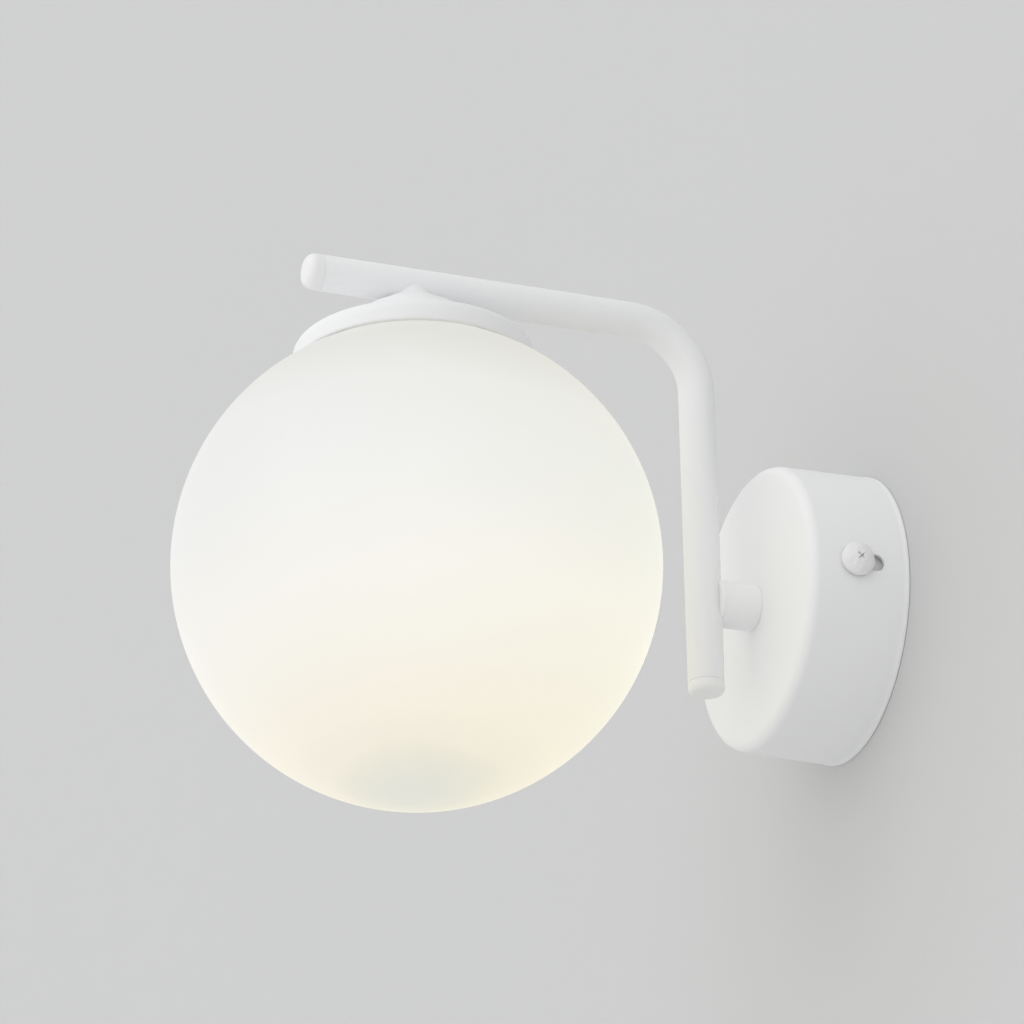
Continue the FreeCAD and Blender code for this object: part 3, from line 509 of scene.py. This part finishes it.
def makeCanopy():
    c = canopy
    face, inner = -c["depth"], -c["depth"] + c["wall"]
    edgeCentre = (c["front"] - c["edge"], face + c["edge"])
    bend = arcPoints(edgeCentre, c["edge"], -90, 0, 14)
    innerBend = arcPoints(edgeCentre, c["edge"] - c["wall"], 0, -90, 8)
    draft = (c["rear"] - c["front"]) / (c["depth"] - c["edge"])
    profile = [(c["hole"], face)] + bend
    profile += [(c["front"] + draft * ring, face + c["edge"] + ring) for ring in c["rings"]]
    profile += [(c["rear"] + rise, level) for rise, level in c["bead"]]
    profile += [(c["rear"] - c["wall"] + rise, level) for rise, level in c["mouth"]]
    profile += innerBend + [(c["hole"], inner)]
    cup = latheProfile(profile, "Y", steps=c["steps"])
    radius = c["slotWidth"] / 2 * mm
    near, far = -c["slotNear"] * mm - radius, -c["slotFar"] * mm + radius
    # a bar right through the cup, its far half drawn out to the slot's other end
    cutter = rodAlong("X", radius, c["cut"] * mm, (0, near, 0), 48)
    pick(cutter)
    bpy.ops.object.mode_set(mode="EDIT")
    selectWhere(cutter, lambda place: place.y < near - merging["surface"], "VERT")
    bpy.ops.transform.translate(value=(0, far - near, 0))
    bpy.ops.object.mode_set(mode="OBJECT")
    cleanUp(cutter)
    carve(cup, cutter)
    cleanUp(cup, 30)
    finishPiece(cup, "canopyCup", white, "fixture", "white_coat", "canopy_cup")


makeCanopy()
print("canopy ready")


# levels run up the screw from the seat of its head; the lumps are pooled enamel
sideScrew = {"line": -17.5, "seat": 45.3, "head": 5.4, "height": 3.6, "shaft": 2.5, "tip": 36.0,
             "domeFoot": 0.42, "dome": 6.5, "pitch": 0.8, "groove": 0.32, "tipGap": 1.0,
             "headGap": 0.4, "recess": 2.0, "blade": 0.6, "depth": 1.2, "taper": 0.55,
             "soft": 0.09, "lump": 1.7, "lumpHeight": 0.45}


def makeSideScrews():
    # modelled once with its head towards +z, then laid out to the right and to the left
    s = sideScrew
    length = s["seat"] - s["tip"]
    threads = []
    for i in range(int((length - s["tipGap"] - s["headGap"]) / s["pitch"])):
        level = -length + s["tipGap"] + i * s["pitch"]
        threads += [(s["shaft"] - s["groove"], level), (s["shaft"], level + s["pitch"] * 0.5)]
    profile = [(0, -length), (s["shaft"] - 0.7, -length)] + threads
    profile += [(s["shaft"] - 0.2, -0.2), (s["shaft"], 0), (s["head"] - 0.35, 0), (s["head"], 0.3)]
    profile += bowPoints((s["head"] - 0.1, s["height"] * s["domeFoot"]), (0, s["height"]),
                         s["dome"], 14)
    screw = latheProfile(profile, "Z", steps=64, closed=False)
    for turn in (pi / 4, -pi / 4):
        deselectAll()
        bpy.ops.mesh.primitive_cube_add(size=1, location=(0, 0, s["height"] * mm),
                                        rotation=(0, 0, turn))
        blade = bpy.context.object
        blade.scale = (2 * s["recess"] * mm, s["blade"] * mm, 2 * s["depth"] * mm)
        settle(blade)
        bpy.ops.object.mode_set(mode="EDIT")
        selectWhere(blade, lambda normal: normal.z < -0.5)
        bpy.ops.transform.resize(value=(s["taper"], s["taper"], 1), center_override=(0, 0, 0))
        bpy.ops.object.mode_set(mode="OBJECT")
        carve(screw, blade)
    softenEdges(screw, s["soft"] * mm)
    pooled = bpy.data.textures.new("pooledEnamel", "CLOUDS")
    pooled.noise_scale = s["lump"] * mm
    applyModifier(screw, "DISPLACE", texture=pooled, strength=s["lumpHeight"] * mm, mid_level=0.5)
    cleanUp(screw, 50)
    made = []
    for sign in (1, -1):
        copy = screw.copy()
        copy.data = screw.data.copy()
        bpy.context.collection.objects.link(copy)
        copy.rotation_euler = (0, sign * pi / 2, 0)
        copy.location = (sign * s["seat"] * mm, s["line"] * mm, 0)
        made.append(copy)
        settle(copy)
    bpy.data.objects.remove(screw, do_unlink=True)
    right, left = made
    finishPiece(right, "sideScrewRight", screwWhite, "screw_right", "white_coat",
                "canopy_screw_right")
    finishPiece(left, "sideScrewLeft", screwWhite, "screw_left", "white_coat",
                "canopy_screw_left")


makeSideScrews()
print("side screws ready")


# the groove is (over the radius, beside the seam)
stub = {"face": -32.6, "joint": -40.9, "end": -45.9, "radius": 7.4, "bore": 5.05, "seam": -44.7,
        "round": 0.8, "tubeSide": -43.6, "narrowing": 0.9, "chamfer": 0.15, "cut": 40,
        "groove": ((0, 0.5), (0.06, 0.3), (-0.14, 0.05), (-0.14, -0.05), (0.06, -0.3))}
arm = {"line": -49.28, "radius": 5.7, "wall": 1.2, "foot": -27.4, "bend": 21.9, "height": 92.95,
       "end": -174.8, "sides": 72, "bendSteps": 28, "soft": 0.12}


def makeStub():
    s = stub
    corner = s["radius"] - s["chamfer"]
    collar = latheProfile([(s["bore"], s["face"]), (corner, s["face"]),
                           (s["radius"], s["face"] - s["chamfer"]),
                           (s["radius"], s["joint"]), (s["bore"], s["joint"])], "Y", steps=96)
    finishPiece(collar, "stubCollar", white, "fixture", "white_coat", "stub_collar")
    narrow = s["bore"] - s["narrowing"]
    profile = [(s["bore"], s["tubeSide"]), (s["bore"], s["joint"]), (s["radius"], s["joint"])]
    profile += [(s["radius"] + rise, s["seam"] + beside) for rise, beside in s["groove"]]
    profile += arcPoints((s["radius"] - s["round"], s["end"] + s["round"]), s["round"], 0, -90, 10)
    profile += [(narrow, s["end"]), (narrow, s["tubeSide"])]
    saddle = latheProfile(profile, "Y", steps=128)
    carve(saddle, rodAlong("Z", arm["radius"] * mm, s["cut"] * mm, (0, arm["line"] * mm, 0)))
    cleanUp(saddle, 40)
    finishPiece(saddle, "stubSaddle", white, "fixture", "white_coat", "stub_saddle")


makeStub()
print("stub ready")


def makeArm():
    a = arm
    deselectAll()
    bpy.ops.mesh.primitive_circle_add(vertices=a["sides"], radius=a["radius"] * mm,
                                      fill_type="NOTHING",
                                      location=(0, a["line"] * mm, a["foot"] * mm))
    tube = bpy.context.object
    settle(tube)
    bpy.ops.object.mode_set(mode="EDIT")
    bpy.ops.mesh.select_all(action="SELECT")
    rise = (0, 0, (a["height"] - a["bend"] - a["foot"]) * mm)
    bpy.ops.mesh.extrude_region_move(TRANSFORM_OT_translate={"value": rise})
    bendCentre = (0, (a["line"] - a["bend"]) * mm, (a["height"] - a["bend"]) * mm)
    bpy.ops.mesh.spin(steps=a["bendSteps"], angle=pi / 2, center=bendCentre, axis=(-1, 0, 0))
    reach = (0, (a["end"] - a["line"] + a["bend"]) * mm, 0)
    bpy.ops.mesh.extrude_region_move(TRANSFORM_OT_translate={"value": reach})
    bpy.ops.object.mode_set(mode="OBJECT")
    cleanUp(tube)
    applyModifier(tube, "SOLIDIFY", thickness=a["wall"] * mm, offset=-1.0, use_even_offset=True)
    softenEdges(tube, a["soft"] * mm)
    cleanUp(tube, 40)
    finishPiece(tube, "armTube", white, "fixture", "white_coat", "arm_tube")


# what both plugs share, and then each plug's own sizes
plug = {"spigot": 4.4, "depth": 6, "chamfer": 0.4, "gap": 0.01, "flat": 0.6, "flatRise": 0.15}
plugs = {
    "footPlug": {"axis": "Z", "centre": (0, arm["line"] * mm, 0), "seat": arm["foot"],
                 "head": 3.6, "rim": 1.7, "dome": 0.0, "seam": 0.2, "node": "tube_cap"},
    "rodPlug": {"axis": "Y", "centre": (0, 0, arm["height"] * mm), "seat": arm["end"],
                "head": 5.1, "rim": 2.6, "dome": 0.35, "seam": 0.07, "node": "rod_cap"},
}


def makePlugs():
    radius = arm["radius"]
    inside = plug["spigot"] - plug["chamfer"]
    for name, p in plugs.items():
        seat, rim, dome = p["seat"], p["rim"], p["dome"]
        end = seat - p["head"]
        profile = [(0, end), ((radius - rim) * plug["flat"], end + dome * plug["flatRise"])]
        profile += [(r, z + dome * (r / radius) ** 2)
                    for r, z in arcPoints((radius - rim, end + rim), rim, -90, 0, 10)]
        profile += [(radius, seat - p["seam"]), (radius - p["seam"], seat - plug["gap"]),
                    (plug["spigot"], seat - plug["gap"]),
                    (plug["spigot"], seat + plug["depth"] - plug["chamfer"]),
                    (inside, seat + plug["depth"]), (0, seat + plug["depth"])]
        turned = latheProfile(profile, p["axis"], p["centre"], 72, closed=False)
        cleanUp(turned, 35)
        finishPiece(turned, name, capWhite, "fixture", "cap_coat", p["node"])


makeArm()
makePlugs()
print("arm ready")


globeLine = (0, -144.25 * mm, 0)
# lip is (over the radius, over the rim); slopes are (radius, level) where two arcs meet
dish = {"radius": 37.2, "rim": 64.5, "shoulder": 68.4, "top": 72.3, "wall": 1.2, "hole": 8.0,
        "seat": 86.9, "neck": 9.4, "innerNeck": 10.3, "steps": 192,
        "lip": ((-0.55, 0), (-0.22, 0.12), (-0.04, 0.45), (0, 0.9), (0.08, 2.2)),
        "ledge": (28.5, 1.3), "slope": (16, 83.0), "innerLedge": (28.1, 0.1),
        "innerSlope": (15.2, 81.95), "mouth": ((0, 0.3), (0.25, 0))}
flare = {"bore": 5.05, "spigot": 7.9, "base": 84.9, "foot": 9.2, "waist": (6.2, 89.2),
         "top": (5.7, 90.9), "cut": 60}


def makeDish():
    d = dish
    ledge = (d["ledge"][0], d["top"] + d["ledge"][1])
    innerLedge = (d["innerLedge"][0], d["top"] + d["innerLedge"][1])
    outer = [(d["radius"] + over, d["rim"] + rise) for over, rise in d["lip"]]
    outer += bowPoints((d["radius"] + 0.15, d["shoulder"]), (d["radius"] - 3.8, d["top"]), 3.9, 12)
    outer += [ledge]
    outer += bowPoints(ledge, d["slope"], 26, 16, -1)[1:]
    outer += bowPoints(d["slope"], (d["neck"], d["seat"]), 60, 8, -1)[1:]
    under = d["seat"] - d["wall"]
    inner = [(d["hole"], d["seat"]), (d["hole"], under), (d["innerNeck"], under)]
    inner += bowPoints((d["innerNeck"], under), d["innerSlope"], 60, 6, 1)[1:]
    inner += bowPoints(d["innerSlope"], innerLedge, 26.8, 14, 1)[1:]
    inner += bowPoints((d["radius"] - 4.0, d["top"] - d["wall"]),
                       (d["radius"] - 1.05, d["shoulder"]), 2.7, 8, -1)
    inner += [(d["radius"] - d["wall"] + over, d["rim"] + rise) for over, rise in d["mouth"]]
    cup = latheProfile(outer + inner, "Z", globeLine, d["steps"])
    finishPiece(cup, "globeDish", white, "fixture", "white_coat", "holder_cup")


def makeFlare():
    f = flare
    foot = (f["foot"], dish["seat"])
    profile = [(f["bore"], f["base"]), (f["spigot"], f["base"]), (f["spigot"], dish["seat"]), foot]
    profile += bowPoints(foot, f["waist"], 3.6, 12, -1)[1:]
    profile += bowPoints(f["waist"], f["top"], 9, 5, -1)[1:]
    profile += [(f["bore"], f["top"][1])]
    boss = latheProfile(profile, "Z", globeLine, 128)
    carve(boss, rodAlong("Y", arm["radius"] * mm, f["cut"] * mm,
                         (0, globeLine[1], arm["height"] * mm)))
    cleanUp(boss, 35)
    finishPiece(boss, "neckFlare", white, "fixture", "white_coat", "neck_boss")


makeDish()
makeFlare()
print("dish ready")


# the throat is (over the neck, over the level where neck and ball would meet)
globe = {"radius": 75.0, "wall": 2.6, "drop": -1.5, "neck": 21.0, "bore": 17.5, "top": 76.2,
         "lip": 1.2, "neckFoot": 1.6, "trim": 1.4, "steps": 224,
         "throat": ((0.12, 1.0), (0.5, 0.35), (1.0, -0.05))}


def makeGlobe():
    g = globe
    inside = g["radius"] - g["wall"]
    outerRise = sqrt(g["radius"] ** 2 - g["neck"] ** 2)
    innerRise = sqrt(inside ** 2 - g["bore"] ** 2)
    outerStart = 90 - atan2(g["neck"], outerRise) * 180 / pi
    innerStart = 90 - atan2(g["bore"], innerRise) * 180 / pi
    outer = arcPoints((0, g["drop"]), g["radius"], outerStart - g["trim"], -90, 110)
    inner = arcPoints((0, g["drop"]), inside, -90, innerStart, 90)
    meeting = g["drop"] + outerRise
    lipLevel = g["top"] - g["lip"]
    neck = [(g["neck"], meeting + g["neckFoot"]), (g["neck"], lipLevel)]
    neck += arcPoints((g["neck"] - g["lip"], lipLevel), g["lip"], 0, 90, 6)[1:]
    neck += arcPoints((g["bore"] + g["lip"], lipLevel), g["lip"], 90, 180, 6)
    throat = [(g["neck"] + over, meeting + rise) for over, rise in g["throat"]]
    shell = latheProfile(outer + inner + neck[::-1] + throat, "Z", globeLine, g["steps"])
    cleanUp(shell, 60)
    finishPiece(shell, "opalGlobe", opalGlass, "globe", "opal", "globe_glass")


makeGlobe()
print("globe ready")


lamp = {"radius": 8.0, "neck": 32.0, "tip": 4.0, "wall": 1.0, "edge": 0.3}


def makeLampShell():
    s = lamp
    tipCentre = (0, s["tip"] + s["radius"])
    profile = arcPoints(tipCentre, s["radius"], -90, 0, 20)
    profile += [(s["radius"], s["neck"] - s["edge"]), (s["radius"] - s["edge"], s["neck"]),
                (s["radius"] - s["wall"], s["neck"])]
    profile += arcPoints(tipCentre, s["radius"] - s["wall"], 0, -90, 16)
    shell = latheProfile(profile, "Z", globeLine, 64)
    cleanUp(shell, 50)
    finishPiece(shell, "lampShell", frosted, "lamp", "frosted", "bulb_envelope")


makeLampShell()
print("lamp ready")


room = {"size": 9.0, "wallGap": 0.00015, "wallBox": 0.0445, "floor": -2.6,
        "floorLow": (0.8, 0.8, 0.8, 1), "floorBase": (0.83, 0.83, 0.83, 1), "floorCloud": 0.6,
        "level": 1.03, "side": -0.08, "backdrop": 0.72,
        "key": 0.3, "spread": 60, "from": (0.15, -0.8, 0.55)}


def makeRoom():
    deselectAll()
    # the wall is open behind the canopy, as over a wall box, so that the light's back is lit
    # when it is seen from there
    bpy.ops.mesh.primitive_circle_add(vertices=96, radius=room["wallBox"], fill_type="NOTHING",
                                      location=(0, room["wallGap"], 0), rotation=(pi / 2, 0, 0))
    wall = bpy.context.object
    settle(wall)
    bpy.ops.object.mode_set(mode="EDIT")
    bpy.ops.mesh.select_all(action="SELECT")
    bpy.ops.mesh.extrude_region_move()
    grown = room["size"] / room["wallBox"]
    bpy.ops.transform.resize(value=(grown, 1, grown), center_override=(0, room["wallGap"], 0))
    bpy.ops.object.mode_set(mode="OBJECT")
    if wall.data.polygons[0].normal.y > 0:
        wall.data.flip_normals()
    wall.name = "wall"
    wall.data.materials.append(makeWallPaint())
    bpy.ops.mesh.primitive_plane_add(size=2 * room["size"], location=(0, 0, room["floor"]))
    floor = bpy.context.object
    floor.name = "floor"
    paint = Finish("floorPaint", Roughness=0.9)
    paint.drive(Base_Color=paint.mix(paint.noise(room["floorCloud"]), room["floorLow"],
                                     room["floorBase"]))
    floor.data.materials.append(paint.material)


def makeLights():
    # soft light all round, a little stronger from the left; the camera, mirrors and clear
    # pieces see an even backdrop
    world = bpy.data.worlds.new("room")
    bpy.context.scene.world = world
    world.use_nodes = True
    sky = Graph(world.node_tree)
    way = sky.add("ShaderNodeTexCoord", out="Generated")
    right = sky.add("ShaderNodeSeparateXYZ", {}, {0: way}, out="X")
    glow = right * room["side"] + room["level"]
    seen = sky.add("ShaderNodeLightPath", out="Is Camera Ray")
    for ray in ("Is Glossy Ray", "Is Transmission Ray"):
        seen = seen.atLeast(sky.add("ShaderNodeLightPath", out=ray))
    background = world.node_tree.nodes["Background"]
    background.inputs["Color"].default_value = (1, 1, 1, 1)
    sky.feed(background.inputs["Strength"], glow + seen * (room["backdrop"] - glow))
    key = bpy.data.lights.new("softKey", "SUN")
    key.energy = room["key"]
    key.angle = radians(room["spread"])
    holder = bpy.data.objects.new("softKey", key)
    bpy.context.collection.objects.link(holder)
    holder.rotation_euler = (-Vector(room["from"])).to_track_quat("-Z", "Y").to_euler()


# place in metres, focal length and frame in pixels of the photograph
view = {"place": (1.8223974, -0.8562502, -0.8490261), "azimuth": 67.80, "rise": 23.85,
        "roll": -1.30, "focal": 7000.0, "frame": 1024, "sensor": 36.0, "near": 0.05}


def makeCamera():
    v = view
    data = bpy.data.cameras.new("photoCamera")
    data.sensor_width = v["sensor"]
    data.lens = v["focal"] * v["sensor"] / v["frame"]
    data.clip_start = v["near"]
    camera = bpy.data.objects.new("photoCamera", data)
    bpy.context.collection.objects.link(camera)
    turn = Euler((radians(90 + v["rise"]), 0, radians(v["azimuth"])), "XYZ").to_matrix()
    turn = turn @ Matrix.Rotation(radians(v["roll"]), 3, "Z")
    camera.matrix_world = Matrix.Translation(v["place"]) @ turn.to_4x4()
    bpy.context.scene.camera = camera


makeRoom()
makeLights()
makeCamera()
bpy.context.scene.view_settings.view_transform = "Standard"
print("room, light and camera ready")
